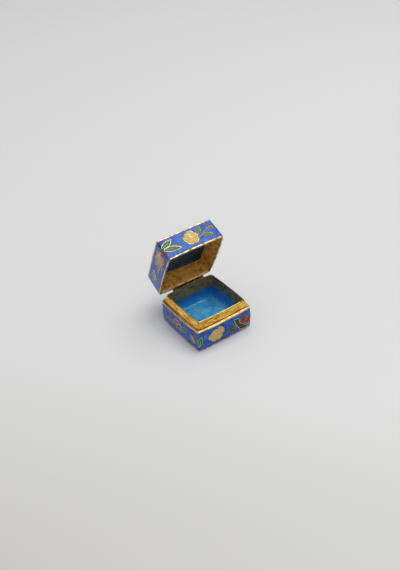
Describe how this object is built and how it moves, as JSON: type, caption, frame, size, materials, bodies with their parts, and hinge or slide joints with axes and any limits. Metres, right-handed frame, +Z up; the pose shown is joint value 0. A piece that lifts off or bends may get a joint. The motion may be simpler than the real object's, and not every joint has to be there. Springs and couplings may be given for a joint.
{
  "type": "cloisonne enamel box",
  "caption": "Small square cloisonne enamel trinket box with gilt copper edges, a brass collar and a lid hinged at the back, standing open.",
  "frame": {"origin": "centre of the flat underside", "axes": "+X along the hinge to the right, -Y towards the front, +Z up; the hinged side is at +Y"},
  "size_m": [0.0324, 0.0436, 0.0471],
  "materials": {
    "gilt_copper": "gilt, worn and polished",
    "collar_brass": "polished outside, dark patina inside",
    "hinge_brass": "dull, brown in the joints",
    "cobalt_enamel": "opaque cloisonne enamel, ground and polished",
    "turquoise_enamel": "opaque glossy enamel",
    "dark_teal_enamel": "opaque glossy enamel",
    "golden_enamel": "opaque cloisonne enamel in the yellow blossoms",
    "leaf_green_enamel": "opaque cloisonne enamel in the leaves",
    "brick_red_enamel": "opaque cloisonne enamel in the red petals",
    "rose_tan_enamel": "opaque cloisonne enamel in the fan of narrow petals"
  },
  "bodies": {
    "base": {"base_body": "gilt_copper", "base_side_enamel": "cobalt_enamel", "base_inner_enamel": "turquoise_enamel", "base_underside_enamel": "turquoise_enamel", "collar": "collar_brass", "hinge_base_leaf": "hinge_brass", "hinge_pin": "hinge_brass"},
    "lid": {"lid_body": "gilt_copper", "lid_side_enamel": "cobalt_enamel", "lid_top_enamel": "cobalt_enamel", "lid_inner_enamel": "dark_teal_enamel", "hinge_lid_leaf": "hinge_brass"}
  },
  "joints": [
    {"name": "lid_hinge", "type": "hinge", "parent": "base", "child": "lid", "pos_m": [0, 0.0179, 0.01205], "axis": [-1, 0, 0], "range_deg": [-65, 45]}
  ]
}
